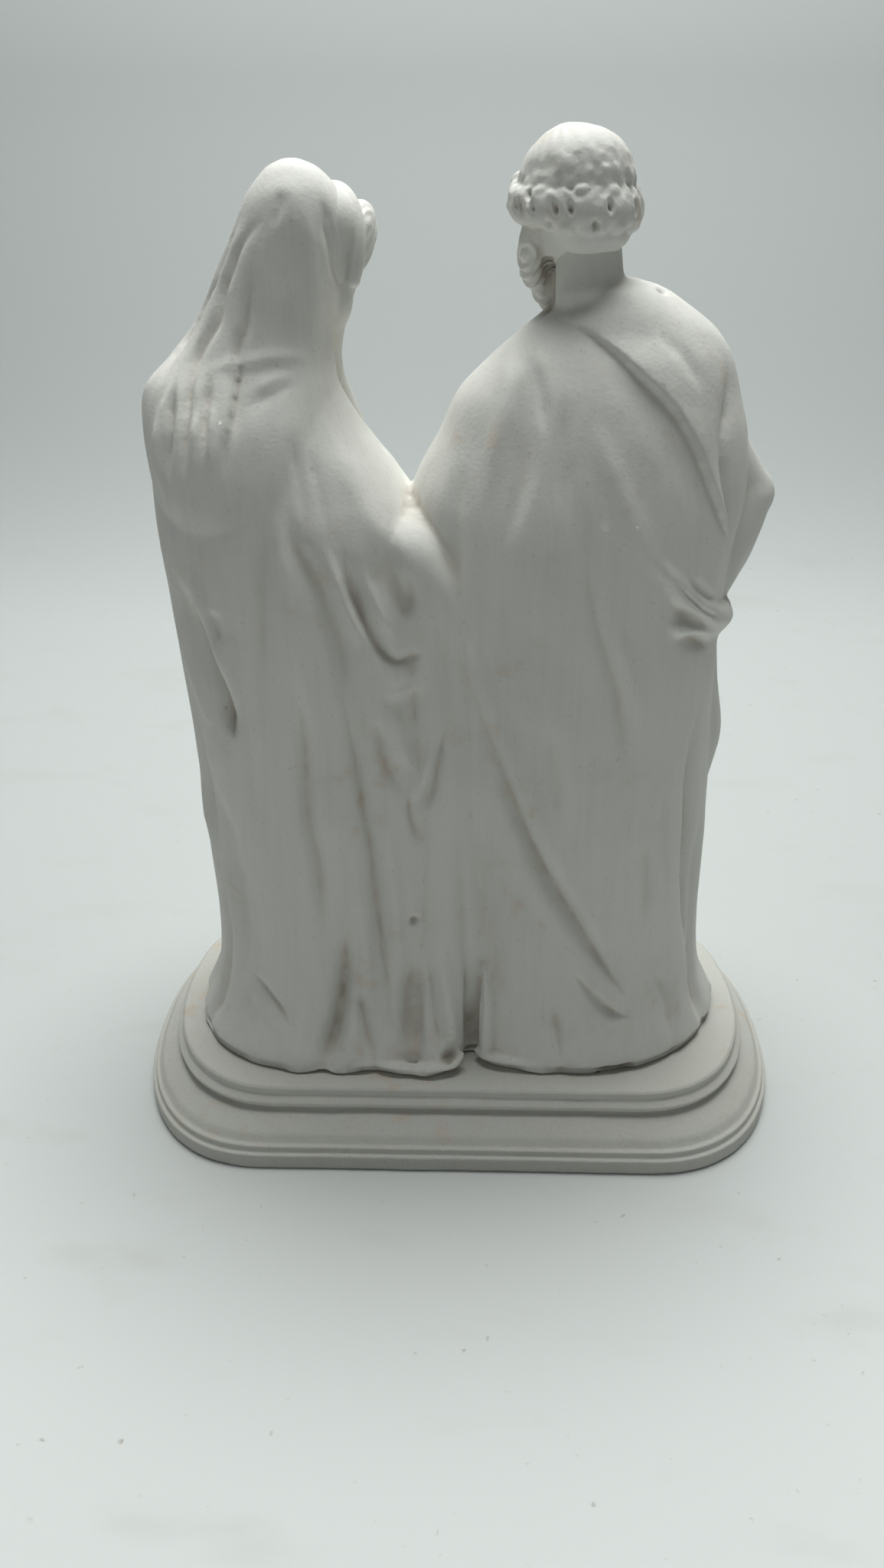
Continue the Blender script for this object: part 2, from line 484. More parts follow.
# Strokes of the carving, view by view. A path's points are x and z at the front and back, y and z at the
# sides.
strokes = {}
strokes["back"] = [
    # veil over the mother's head and far shoulder
    valley(2, 2.3, (50, 280), (58, 274), (62, 268), (65, 262), (67, 254), (72, 246), (75, 235), (77, 224)),
    valley(1.6, 1.7, (55, 275), (56, 268), (58, 254), (60, 248), (61, 239), (61, 231), (61, 221)),
    crease(1.2, 1, (48, 286), (48, 281), (51, 275)),
    valley(1.9, 1.5, (37, 285), (35.8, 277), (34.6, 271), (33.4, 263), (33, 255)),
    ridge(1.8, 0.8, (41, 284), (40, 274), (39.5, 262), (39, 250)),
    valley(4, 1, (46, 280), (47, 268), (47, 256)),
    lap(1.6, 1.1, (64, 210), (64, 221), (62, 231), (60, 242), (57, 252)),
    valley(1.5, 2.2, (78, 240), (79, 236), (80, 224), (81, 210)),
    valley(1.3, 2, (73, 243), (74, 236), (75, 225), (76, 212)),
    valley(1.2, 1.7, (68, 243), (68.5, 236), (69, 229), (70, 218)),
    valley(1.9, 1.8, (58, 283), (66, 268), (73, 255), (81, 243), (85, 232)),
    valley(1.8, 1.1, (70, 258), (78, 244), (84.5, 232), (86, 220)),
    # mother's shoulder and back
    ridge(2, 0.8, (71, 241.5), (64, 243), (58, 244), (50, 245), (43, 244.5), (38, 242)),
    crease(1.4, 0.7, (60, 232.5), (54, 235), (48, 237.5), (42, 239)),
    ridge(1.8, 0.6, (57, 237), (51, 239.5), (45, 241)),
    ridge(1.4, 1.5, (84, 232), (84, 220), (83, 208)),
    ridge(1.3, 1.4, (71, 234), (72, 222), (73, 210)),
    ridge(1.3, 1.1, (67, 236), (67, 224), (67, 213)),
    crease(1.5, 0.9, (46.5, 228), (44, 214), (42, 200)),
    crease(1.5, 0.8, (41.5, 224), (38.5, 210), (37, 198)),
    valley(3.2, 2.8, (47, 210), (46, 200), (42, 192), (38, 182), (34, 168), (33, 155), (33, 142)),
    valley(2.4, 1.7, (54, 212), (54, 197), (56, 176), (56, 150)),
    ridge(3, 1.6, (50, 208), (49, 190), (46, 165), (42, 140)),
    ridge(3.2, 1, (60, 205), (61, 180), (60, 150), (58, 120)),
    valley(2.6, 0.9, (65, 200), (65, 175), (63, 150)),
    # hollow under the near forearm, where the cloth hangs in a bag
    crease(2, 5, (33, 198), (29.5, 184), (26, 174), (22, 167), (18, 163.5), (14, 164.5), (9, 169)),
    ridge(2.3, 2.4, (38, 200), (34, 186), (30, 177), (25, 168), (20, 160)),
    ridge(1.5, 1.1, (27.5, 192), (24, 181), (21, 175), (16.5, 169.5)),
    ridge(3, 1.6, (24, 156), (16, 156), (9, 161)),
    valley(5.4, 1.7, (28, 196), (23, 190), (18, 184), (14, 178), (10, 174)),
    ridge(4.6, 1.3, (37, 229), (31, 214), (25, 203), (19, 198), (12, 195)),
    valley(1.6, 0.9, (16, 192), (15, 182), (16, 174)),
    # mother's outer side
    crease(1.5, 4.8, (80, 186), (77.5, 176), (74, 165), (71, 155), (68.5, 145), (67.5, 137),
        fades=(0.3, 0.2)),
    valley(2.4, 1.6, (82.5, 190), (80, 176), (76, 162), (73, 150)),
    ridge(2.6, 1.8, (77, 192), (73, 176), (69, 162), (65, 148)),
    ridge(2.4, 1.4, (85, 180), (81, 162), (77, 146), (74, 134)),
    crease(1.5, 1.6, (71.5, 180), (70, 172), (69.5, 166)),
    valley(3.6, 1.6, (79, 134), (77, 118), (73, 104), (71, 90), (70, 76), (70, 62), (73, 50), (78, 40)),
    ridge(3.4, 1.6, (84, 122), (80, 100), (77, 80), (77, 60)),
    ridge(5.5, 1.8, (64, 130), (61, 100), (60, 70), (63, 44)),
    # mother's lower folds
    valley(2.4, 2.6, (47, 162), (46, 140), (46, 116), (44, 100), (43, 78), (41, 58)),
    crease(1.7, 3.2, (38, 170), (34, 153), (31, 134), (29, 117), (27, 103), (26, 86), (24, 67), (22, 48),
        (21, 28)),
    ridge(2.2, 2.2, (35, 116), (32, 96), (30, 74), (28.5, 54), (28, 36)),
    ridge(2.2, 1.4, (22, 120), (21, 96), (19, 70), (17, 48)),
    valley(2.8, 6.4, (34.5, 84), (36, 70), (37, 56), (39, 43), (43, 30), (46, 18), fades=(0.5, 0.01)),
    crease(1.5, 2.8, (33, 58), (30.5, 41), (27.5, 30), (25, 18), fades=toHem),
    ridge(3, 1.8, (35, 50), (34, 38), (35, 20), fades=toHem),
    ridge(4.2, 1.6, (52, 60), (52, 42), (54, 20), fades=toHem),
    valley(3.4, 2.8, (14, 66), (15, 46), (15, 18), fades=toHem),
    crease(1.3, 2.6, (10.5, 64), (9, 48), (7, 38), (5, 31), fades=(0.3, 0.3)),
    ridge(2.2, 2.8, (5, 66), (3.5, 50), (2, 38), (1, 34), fades=(0.3, 0.1)),
    crease(1.1, 1.9, (69, 56), (61, 47), (53, 38)),
    ridge(2.6, 1.1, (70, 50), (62, 41), (56, 34)),
    # between the two figures
    valley(3.4, 1.8, (8, 186), (4, 160), (2, 140), (0, 120)),
    crease(2, 2.4, (0, 118), (-1, 104), (-1, 90), (-2, 70), (-4, 55), (-5.2, 38), (-5.2, 18),
        fades=(0.4, 0.01)),
    crease(1.4, 2.2, (-3, 66), (-4.6, 50), (-5.2, 36), (-5.2, 18), fades=(0.5, 0.01)),
    crease(1.3, 3, (3.5, 147), (5.5, 138), (7.5, 128), (9.5, 119), (10.5, 113), fades=(0.4, 0.3)),
    ridge(1.5, 1.6, (7.5, 139), (10.5, 128), (14, 117)),
    crease(1.3, 1.8, (15, 123), (14, 111), (11, 100)),
    valley(2.4, 1.8, (25, 148), (21, 130), (16, 119)),
    ridge(2, 1.3, (20, 150), (17, 136), (12, 126)),
    # father's shoulder and the slanting edge of his mantle
    lap(1.7, 1.5, (-18, 253), (-25, 254), (-32, 252), (-38, 248.5), (-44, 244), (-51, 238), (-57, 232),
        (-63, 223), (-68, 213), (-73, 203), (-77, 194), fades=(0.4, 0.2)),
    valley(4.5, 1, (-30, 249), (-42, 241), (-53, 229), (-62, 214), (-70, 198)),
    valley(2.2, 0.7, (-50, 252), (-59, 245), (-66, 234)),
    ridge(2.6, 0.8, (-20, 258), (-29, 260), (-38, 261), (-47, 260)),
    crease(1.5, 2.4, (-72, 246), (-73, 238), (-71.5, 228), (-71.5, 218), (-73.5, 208), (-76, 199),
        (-74, 188)),
    valley(2.8, 1.8, (-17, 248), (-17, 234), (-17, 224), (-16, 214), (-13, 203), (-10, 194)),
    valley(2, 1.2, (-18, 246), (-20.5, 236), (-23, 224)),
    ridge(3.4, 1.6, (-13, 250), (-11.5, 236), (-9, 222), (-5, 204)),
    valley(2, 0.9, (-26, 238), (-27, 222), (-28, 202)),
    valley(3.4, 1.4, (1, 222), (2, 208), (2, 190), (0, 176)),
    # long folds of the father's back
    crease(2, 2, (-31, 214), (-33, 204), (-35, 190), (-38, 177), (-42, 166), (-45, 157), (-47, 146),
        (-49, 132), (-51, 118)),
    ridge(3.2, 1.2, (-34, 232), (-45, 208), (-50, 198), (-58, 186)),
    ridge(2.8, 1.3, (-41, 180), (-46, 168), (-50, 154), (-53, 138)),
    ridge(2.4, 1.9, (2, 178), (-4, 163), (-9, 151), (-13, 140), (-17, 127)),
    crease(1.7, 3.8, (0, 168), (-5, 150), (-10, 138), (-15, 124), (-19, 113), (-24, 102), (-30, 91),
        (-37, 79), (-44, 67), (-51, 56), (-57, 48), fades=(0.5, 0.2)),
    ridge(4.2, 2, (-8, 150), (-18, 126), (-28, 106), (-40, 84), (-50, 68)),
    ridge(3.4, 1.3, (-10, 128), (-18, 104), (-28, 84), (-38, 66)),
    crease(1.2, 2.6, (-36, 62), (-43, 53), (-50, 46), (-60, 41)),
    ridge(2.4, 1.5, (-40, 62), (-47, 53), (-56, 47)),
    crease(1.6, 2, (-30.5, 50), (-33, 36), (-35, 18), fades=toHem),
    valley(2.4, 1.4, (-57, 112), (-59, 90), (-58, 70)),
    valley(2, 1, (-62, 128), (-64, 104), (-65, 80)),
    valley(2.6, 1, (-26, 150), (-28, 128), (-32, 112)),
    valley(3, 1.1, (-6, 110), (-9, 80), (-14, 50), (-18, 18), fades=toHem),
    ridge(3, 1.2, (-12, 60), (-15, 40), (-17, 18), fades=toHem),
    crease(1.5, 3.8, (-72.5, 154), (-71, 134), (-71.5, 115), (-72.5, 96), (-74, 77), (-76.5, 60),
        (-81, 44)),
    valley(3, 1.6, (-62, 60), (-70, 44), (-74, 20), fades=toHem),
    # gathered cloth at the father's waist
    crease(1, 2.2, (-58, 191), (-64, 184), (-71, 178), (-78, 172)),
    crease(1, 2.4, (-57, 184), (-63, 178), (-70, 174), (-76, 168)),
    crease(1.2, 2.6, (-60, 171), (-67, 169), (-74, 165)),
    ridge(1.2, 1, (-62, 194), (-68, 187), (-75, 180)),
]
strokes["front"] = [
    crease(1.6, 3.4, (82, 196), (80, 180), (74, 167), (64, 160), (56, 161)),
    crease(1.6, 3, (76, 198), (74, 184), (69, 174), (61, 168), (54, 168)),
    crease(1.5, 2.4, (70, 196), (67, 186), (61, 179)),
    crease(1.5, 2.6, (33, 190), (34, 176), (31, 164), (25, 158)),
    crease(1.5, 2.4, (18, 190), (17, 176), (19, 165)),
    crease(1.7, 3.2, (-80, 200), (-75, 187), (-66, 180), (-54, 181)),
    crease(1.7, 3, (-74, 206), (-68, 195), (-60, 189), (-51, 189)),
    crease(1.5, 2.4, (-64, 206), (-58, 200), (-50, 197)),
    crease(1.6, 2.8, (4, 206), (5, 190), (2, 176), (-4, 168)),
    crease(1.6, 2.6, (-8, 206), (-11, 192), (-10, 180), (-7, 172)),
    lap(2, 1.8, (46, 222), (49, 190), (56, 150), (62, 110), (66, 70), (70, 18), fades=(0.1, 0.01)),
    valley(3.2, 3.4, (50, 150), (52, 90), (54, 18), fades=toHem),
    valley(3, 3.4, (40, 150), (41, 90), (40, 18), fades=toHem),
    valley(3, 3.2, (30, 150), (29, 90), (27, 18), fades=toHem),
    valley(3, 3, (19, 150), (16, 90), (14, 18), fades=toHem),
    valley(3.4, 3.4, (74, 160), (78, 100), (82, 18), fades=toHem),
    crease(2.6, 6, (5, 176), (4, 130), (1, 80), (-2, 18), fades=(0.2, 0.01)),
    crease(2.4, 3.4, (-12, 170), (-24, 142), (-44, 114), (-68, 94), fades=(0.15, 0.4)),
    ridge(3.4, 2, (-14, 158), (-28, 128), (-48, 102), (-70, 82)),
    crease(2.6, 3.6, (-10, 154), (-19, 120), (-37, 84), (-60, 56), fades=(0.15, 0.4)),
    ridge(3.6, 2.2, (-9, 136), (-18, 102), (-34, 66), (-54, 36)),
    crease(2.4, 3.4, (-8, 132), (-13, 94), (-27, 56), (-45, 18), fades=(0.15, 0.01)),
    crease(2, 2.4, (-32, 156), (-50, 140), (-72, 128), fades=(0.3, 0.4)),
    ridge(3, 1.8, (-7, 90), (-12, 54), (-22, 18), fades=toHem),
    valley(2.6, 2.4, (-72, 78), (-75, 46), (-78, 18), fades=(0.4, 0.01)),
    valley(2.6, 2.6, (-62, 46), (-63, 32), (-65, 18), fades=(0.4, 0.01)),
    valley(2.6, 2.6, (-10, 64), (-13, 40), (-15, 18), fades=(0.4, 0.01)),
    crease(1.6, 1.6, (-74, 176), (-62, 167), (-42, 162.5), (-18, 167), fades=(0.2, 0.2)),
    crease(1.6, 1.6, (-70, 170), (-58, 162), (-40, 158), (-22, 162), fades=(0.2, 0.2)),
    lap(1.8, 1.6, (-46, 248), (-54, 232), (-60, 214), (-64, 200), fades=(0.2, 0.3)),
    valley(2.6, 2, (-36, 240), (-38, 222), (-42, 206)),
    valley(2.6, 2, (-28, 238), (-27, 220), (-29, 204)),
    valley(2.4, 1.8, (-50, 196), (-48, 184), (-44, 172)),
    valley(2.4, 1.8, (-34, 198), (-34, 184), (-34, 172)),
    crease(1.4, 1.5, (-19, 236), (-14, 214), (-13, 192), fades=(0.2, 0.3)),
    crease(1.4, 1.5, (39, 240), (35, 218), (32, 200), fades=(0.2, 0.3)),
    crease(1.4, 1.5, (58, 240), (64, 218), (69, 198), fades=(0.2, 0.3)),
    crease(1.6, 2, (43, 234), (49, 229), (56, 233), fades=(0.3, 0.3)),
    valley(2.2, 1.8, (46, 226), (47, 216), (48, 206)),
    valley(2.2, 1.8, (54, 226), (55, 214), (55, 204)),
    crease(1.6, 2.4, (24, 171), (38, 167), (56, 170), fades=(0.2, 0.2)),
    valley(1.3, 1.3, (-8, 176), (-12, 164), (-12, 150), fades=(0.3, 0.2)),
    valley(1.2, 1, (-6, 172), (-8, 163), (-9, 155), fades=(0.3, 0.3)),
]
strokes["left"] = [
    valley(3.4, 2.6, (-14, 160), (-12, 100), (-14, 18), fades=toHem),
    valley(3.4, 2.6, (2, 190), (4, 110), (6, 18), fades=toHem),
    valley(3, 2.4, (16, 170), (20, 110), (24, 18), fades=toHem),
]
strokes["right"] = [
    valley(3, 2.6, (-22, 150), (-20, 90), (-20, 18), fades=toHem),
    valley(3, 2.4, (-8, 120), (-6, 80), (-6, 18), fades=toHem),
    valley(3, 2.4, (18, 112), (18, 80), (20, 18), fades=toHem),
]

# bubbles in the casting: place, radius and depth
pits = [
    (14, 33, 76, 1.4, 2.6), (-53.5, 1, 260.5, 1.2, 1.8), (-38, 38, 88, 0.8, 0.6), (61, 36, 92, 0.8, 0.6),
    (52, -33, 60, 0.9, 0.9), (-30, -37, 90, 0.9, 0.9),
]

# dark hollows: two ends of a line, radius, depth, and how much darker
hollows = [
    ((-22.6, -4, 272), (-23.6, -2, 254), 2.4, 1.5, 2.8),
    ((3.4, 45, 30.4), (0.2, 43.5, 33), 1.7, 3.0, 2.6),
    ((-5, 41, 24.5), (-5.2, 40, 32), 1.1, 1.2, 2.2),
    ((-5.2, 39, 32), (-4.2, 36, 56), 1.1, 0.4, 1.0),
    ((-49, 43.4, 25.4), (-56, 42, 25.4), 2.0, 1.4, 4.0),
    ((15, 8, 205), (12, 15, 202), 4.0, 0.0, 1.4),
    ((12, 16, 201), (10, 25, 196), 5.5, 0.0, 0.5),
]


def bodyMesh():
    # robes, veil and limbs as one skin, which is then eased, carved, pitted and made slightly uneven
    forms = [drapedForm(motherBody), drapedForm(fatherBody)]
    forms += [drapedForm(veil, 180, 200), drapedForm(between, 240, 160)]
    forms += [limbForm(*limb) for limb in limbs.values()]
    mesh = welded(forms, family["voxel"])
    edges = edgesOf(mesh)
    points = eased(coords(mesh), edges, family["softening"])
    setCoords(mesh, points)
    normals = eased(normalsOf(mesh), edges, 6)
    normals /= np.linalg.norm(normals, axis=1, keepdims=True)
    # the carving is shallower near the hem
    least = family["hemCarving"]
    depth = carve(points, normals, strokes) * (least + (1 - least) * smoothStep(25, 38, points[:, 2]))
    for x, y, z, radius, sink in pits:
        depth -= sink * np.exp(-np.sum((points - (x, y, z)) ** 2, axis=1) / radius**2)
    depth += family["unevenness"] * cloudNoise(points, (9, 9, 30), 5)
    depth += 0.4 * family["unevenness"] * cloudNoise(points, (4, 4, 9), 6)
    points = points + normals * depth[:, None]
    # the lowest edge is drawn in here and there, so that a dark line shows under the hem
    undercut = smoothStep(27.4, 26.2, points[:, 2])
    undercut *= smoothStep(-0.5, 0.3, cloudNoise(points, (13, 13, 99), 7) + 0.35)
    points[:, :2] -= normals[:, :2] * (family["undercut"] * undercut)[:, None]
    points = eased(points, edges, 1)
    points[:, 2] = np.maximum(points[:, 2], family["hem"])
    setCoords(mesh, points)
    say(f"body carved, {len(points)} points")
    return mesh


# Heads. size is half the breadth, depth and height; turn and nod are in degrees; a face looks along -y.
heads = {
    "mother": {"at": (41, -8, 270.4), "size": (13.6, 16.0, 16.6), "turn": -48, "nod": 18},
    "father": {"at": (-29.4, -7, 281.8), "size": (14.2, 16.8, 18.2), "turn": 38, "nod": 16},
    "child": {"at": (41, -46, 205), "size": (9, 10, 11), "turn": -25, "nod": -28},
}

# height, y, half width, back, front and power, as shares of a head's half sizes
skull = [
    (-1.00, -0.50, 0.10, 0.14, 0.14, 2.0),
    (-0.95, -0.46, 0.32, 0.36, 0.30, 2.1),
    (-0.82, -0.34, 0.54, 0.58, 0.46, 2.2),
    (-0.60, -0.14, 0.74, 0.70, 0.68, 2.3),
    (-0.32, 0.02, 0.88, 0.80, 0.84, 2.3),
    (-0.02, 0.06, 0.95, 0.90, 0.87, 2.3),
    (0.28, 0.08, 1.00, 0.94, 0.91, 2.2),
    (0.54, 0.07, 0.93, 0.88, 0.86, 2.2),
    (0.77, 0.05, 0.73, 0.70, 0.70, 2.1),
    (0.93, 0.03, 0.42, 0.41, 0.41, 2.0),
    (1.00, 0.02, 0.10, 0.10, 0.10, 2.0),
]

# how far parts of a face come forward: the rise, then the middle and width of its bell across and up, all as
# shares of the head's half sizes
faceBells = {
    "eye socket": (-0.085, 0.40, 0.24, 0.045, 0.12),
    "eyeball": (0.095, 0.40, 0.19, 0.005, 0.085),
    "side of the nose": (0.070, 0.15, 0.055, -0.335, 0.05),
    "nostril": (-0.030, 0.09, 0.03, -0.40, 0.022),
    "groove under the nose": (-0.016, 0, 0.035, -0.445, 0.045),
    "lower lip": (0.060, 0, 0.17, -0.600, 0.036),
    "hollow under the lip": (-0.030, 0, 0.2, -0.680, 0.04),
    "chin": (0.070, 0, 0.26, -0.84, 0.12),
    "cheek": (0.035, 0.60, 0.22, -0.20, 0.14),
}


def headMatrix(head):
    turn = Matrix.Rotation(math.radians(head["turn"]), 4, "Z")
    nod = Matrix.Rotation(math.radians(head["nod"]), 4, "X")
    return Matrix.Translation(head["at"]) @ turn @ nod


def skullForm(head):
    # the skull table times the half sizes
    across, deep, tall = head["size"]
    stations = [
        (z * tall, 0, y * deep, half * across, back * deep, front * deep, power)
        for z, y, half, back, front, power in skull
    ]
    return drapedForm(stations, 120, 140)


def bothSides(spine, radii):
    return [limbForm([(side * x, y, z) for x, y, z in spine], radii) for side in (-1, 1)]


def faceRelief(points, head, lidDrop=0.045):
    # how far each point of a face comes forward, in mm, from its breadth x and height z
    across, deep, tall = head["size"]
    x = np.abs(points[:, 0]) / across
    y, z = points[:, 1] / deep, points[:, 2] / tall
    total = np.zeros(len(points))
    for rise, xMiddle, xWidth, zMiddle, zWidth in faceBells.values():
        total += rise * hump(x - xMiddle, xWidth) * hump(z - zMiddle, zWidth)
    # brow, fold over the eye, edge of the lid and lower lid, bent down to the sides
    eye = x - 0.40
    lid = z + lidDrop - 0.8 * eye**2
    total += 0.05 * hump(z - 0.21 + 0.6 * (x - 0.34) ** 2, 0.07) * hump(x - 0.36, 0.36)
    total -= 0.020 * hump(z - 0.075 + 1.3 * eye**2, 0.018) * hump(eye, 0.2)
    total -= 0.036 * hump(lid, 0.017) * hump(eye, 0.17)
    total += 0.014 * hump(lid + 0.045, 0.02) * hump(eye, 0.17)
    # the nose grows downwards from the brow
    length = np.clip((0.17 - z) / 0.5, 0, 1)
    nose = (0.03 + 0.175 * length) * hump(x, 0.075 + 0.065 * length**2)
    total += nose * smoothStep(0.26, 0.05, z) * smoothStep(-0.43, -0.35, z)
    # upper lip, line of the mouth, and crease from the nose to the mouth's corner
    total += 0.050 * hump(z + 0.505 + 0.10 * x, 0.030) * hump(x, 0.22)
    total -= 0.050 * hump(z + 0.548 + 0.03 * np.cos(9 * x), 0.013) * hump(x, 0.23)
    total -= 0.016 * hump(x - 0.27 + 0.55 * (z + 0.45), 0.035) * hump(z + 0.46, 0.12)
    return tall * total * smoothStep(0.10, 0.55, -y)


def strandRelief(points, spacing, wave, seed):
    # hair strands: a cosine over the angle round the crown, bent to and fro by noise
    angle = np.arctan2(points[:, 0], -points[:, 1])
    bend = wave * cloudNoise(points, (7, 7, 7), seed)
    radius = np.hypot(points[:, 0], points[:, 1]).clip(2)
    return np.cos(2 * np.pi * (angle * 14 + bend) / spacing) * smoothStep(2, 9, radius)


def finishHead(forms, head, relief):
    # welds the forms in head space, moves the skin by relief, and puts the head in its place
    mesh = welded(forms, family["headVoxel"])
    edges = edgesOf(mesh)
    points = eased(coords(mesh), edges, 4)
    setCoords(mesh, points)
    points = eased(relief(points, normalsOf(mesh)), edges, 1)
    matrix = np.array(headMatrix(head))
    setCoords(mesh, points @ matrix[:3, :3].T + matrix[:3, 3])
    return mesh


# The father's roll of curls. Each row of curls: height, reach, count, and the share of curls with a hole.
roll = {
    "rise": 0.2, "across": 15.0, "deep": 16.0, "tilt": 4.6, "lift": 18, "seed": 11,
    "rows": [(2.6, 0.2, 21, 0.35), (-1.6, 1.1, 23, 0.75), (-5.2, -0.6, 20, 0.25)],
}
# his smooth hair: height, x, y, half width, back, front and power, measured from the head's middle
fatherCap = [
    (-15, 0, 6, 5, 5, 4, 2), (-13, 0, 6, 8.5, 8, 6, 2), (-9, 0, 5, 11.6, 10.6, 8, 2),
    (-4, 0, 4, 13.4, 12.4, 9, 2), (0, 0, 2.5, 14.6, 14.6, 13.5, 2), (4, 0, 1.5, 15.2, 16, 15.6, 2),
    (7.4, 0, 1, 14, 15.2, 14.6, 2), (10.8, 0, 0.7, 12.2, 13.6, 13, 2), (14.2, 0, 0.5, 9.8, 11, 10.6, 2),
    (17.2, 0, 0.2, 6.2, 6.8, 6.6, 2), (18.9, 0, 0, 2, 2, 2, 2),
]


def rollHeight(s):
    # the roll leans by tilt and rises more over the brow: lift * (-s - 0.55)^2 where s is below -0.55
    return roll["rise"] - roll["tilt"] * s + roll["lift"] * np.maximum(-s - 0.55, 0) ** 2


def curlForms():
    # small balls in rows round the head, and the places and sizes of the holes between them
    rng = np.random.default_rng(roll["seed"])
    forms, holes = [], []
    for row, (lift, out, count, holeShare) in enumerate(roll["rows"]):
        for k in range(count):
            angle = 2 * math.pi * (k + 0.5 * row) / count + rng.uniform(-0.06, 0.06)
            c, s = math.cos(angle), math.sin(angle)
            reach = out - 1.3 + rng.uniform(-0.4, 0.4)
            size = rng.uniform(0.85, 1.15)
            rise = rollHeight(s) + lift * (0.82 + 0.18 * s) + rng.uniform(-0.5, 0.5)
            centre = np.array([(roll["across"] + reach) * c, (roll["deep"] + reach) * s, rise])
            forms.append(ballForm(centre, (2.9 * size, 2.9 * size, 2.5 * size), 14, 20))
            # few holes over the brow
            if rng.uniform() < holeShare * (1.0 if s > -0.4 else 0.2):
                beside = np.array([-s, c, 0]) * rng.uniform(0.6, 1.6)
                holes.append((centre + np.array([c, s, 0.0]) * 2.7 + beside, 0.5 * size))
    return forms, holes


def rollHeart():
    # the ring under the curls, with an oval section
    angle = np.linspace(0, 2 * np.pi, 160, endpoint=False)[:, None, None]
    turn = np.linspace(0, 2 * np.pi, 24, endpoint=False)[None, :, None]
    spoke = np.concatenate([np.cos(angle), np.sin(angle), 0 * angle], axis=-1)
    height = np.concatenate([0 * angle, 0 * angle, rollHeight(np.sin(angle)) - 1.2], axis=-1)
    heart = spoke * (roll["across"] - 0.6, roll["deep"] - 0.6, 0) + height
    return ringGrid(heart + spoke * 3.1 * np.cos(turn) + np.array([0, 0, 5.0]) * np.sin(turn))


def fatherHead():
    head = heads["father"]
    curls, holes = curlForms()
    forms = [skullForm(head), drapedForm(fatherCap, 90, 120)] + curls + [rollHeart()]
    # beard, whiskers, moustache and ears
    beardSpine = [(0, -10, -11), (0.6, -11.5, -17), (1, -11, -22.5), (1.2, -9.5, -26.5)]
    forms.append(limbForm(beardSpine, [7.4, 7.0, 5.2, 1.8]))
    forms += bothSides([(12.2, -3, -3), (11.2, -7, -9), (6.5, -11.5, -15)], [2.6, 3.6, 4.6])
    forms += bothSides([(0.4, -16.9, -8.2), (4.4, -16.2, -9.6), (8, -13.4, -13.5)], [1.2, 1.9, 1.0])
    forms += bothSides([(13.6, 1, -5), (14.6, 2, -1), (14, 2.6, 2)], [1.4, 1.9, 1.9])

    def relief(points, normals):
        x, y, z = points.T
        mouth = smoothStep(-6.5, -8.5, z) * smoothStep(-3, -7, y)
        points = points - np.outer(faceRelief(points, head) * (1 - mouth), [0, 1, 0])
        beard = smoothStep(-7.5, -10.5, z) * smoothStep(0, -4, y)
        lean = x + 1.6 * np.sin(z / 3.1) + 0.8 * np.sin(z / 1.7 + 2)
        curls = np.cos(2 * np.pi * lean / 2.3) + 0.5 * cloudNoise(points, (1.8, 1.8, 3), 12)
        brow = smoothStep(-8, -14, y) * smoothStep(7, 4, z)
        hair = smoothStep(-1, 3, z + roll["tilt"] * y / 15) * (1 - brow)
        depth = 0.42 * beard * curls
        depth += 0.08 * hair * strandRelief(points, 3.6, 1.4, 13)
        depth += 0.42 * hair * smoothStep(11, 8, z) * cloudNoise(points, (1.9, 1.9, 1.9), 14)
        for centre, size in holes:
            off = (points - centre) * (1, 1, 0.45)
            depth -= 2.6 * np.exp(-np.sum(off**2, axis=1) / (size + 0.25) ** 2)
        return points + normals * depth[:, None]

    return finishHead(forms, head, relief)


def motherHead():
    head = heads["mother"]
    forms = [skullForm(head)]
    # two locks on each side of the parting, and the veil's edge round the face
    lock = [(0.8, -11.8, 10.4), (5.2, -11.2, 9.2), (9, -9, 5.6), (10.6, -7.2, 0), (10.6, -5.4, -6)]
    forms += bothSides(lock, [2.6, 2.9, 3, 2.8, 1.6])
    lock = [(0.8, -9.2, 12.2), (5.8, -9, 11.2), (9.8, -6.8, 7.4), (11, -5, 1)]
    forms += bothSides(lock, [3, 3.2, 3.2, 2.6])
    turn = np.linspace(-0.62 * np.pi, 0.62 * np.pi, 14)
    rim = np.stack([13.6 * np.sin(turn), -4.5 + 2.2 * np.cos(turn), -0.5 + 16.3 * np.cos(turn)], axis=-1)
    forms.append(limbForm(rim, [2.0] * 14, rows=120))

    def relief(points, normals):
        x, y, z = points.T
        points = points - np.outer(faceRelief(points, head), [0, 1, 0])
        hair = smoothStep(0.36, 0.56, z / 16.6 + 0.75 * (x / 13.6) ** 2) * smoothStep(-4.0, -7.0, y)
        sweep = np.hypot(x, z + 1) + 0.45 * np.abs(x) + 0.7 * np.sin(np.abs(x) / 1.7)
        return points + normals * (0.22 * hair * np.cos(2 * np.pi * sweep / 1.9))[:, None]

    return finishHead(forms, head, relief)


def childHead():
    head = heads["child"]
    forms = [skullForm(head)] + bothSides([(8.8, 1, -3), (9.5, 1.6, -0.6), (9.1, 2, 1.2)], [0.9, 1.3, 1.2])

    def relief(points, normals):
        x, y, z = points.T
        points = points - np.outer(0.85 * faceRelief(points, head, 0.03), [0, 1, 0])
        hair = smoothStep(0.40, 0.60, z / 11 + 0.35 * (x / 9) ** 2 + 0.45 * smoothStep(-4, 3, y))
        curls = 0.5 * cloudNoise(points, (1.6, 1.6, 1.6), 15)
        curls += 0.25 * np.cos(2 * np.pi * (z + 1.2 * np.sin(x)) / 1.9)
        return points + normals * (hair * (0.55 + 0.5 * curls))[:, None]

    return finishHead(forms, head, relief)


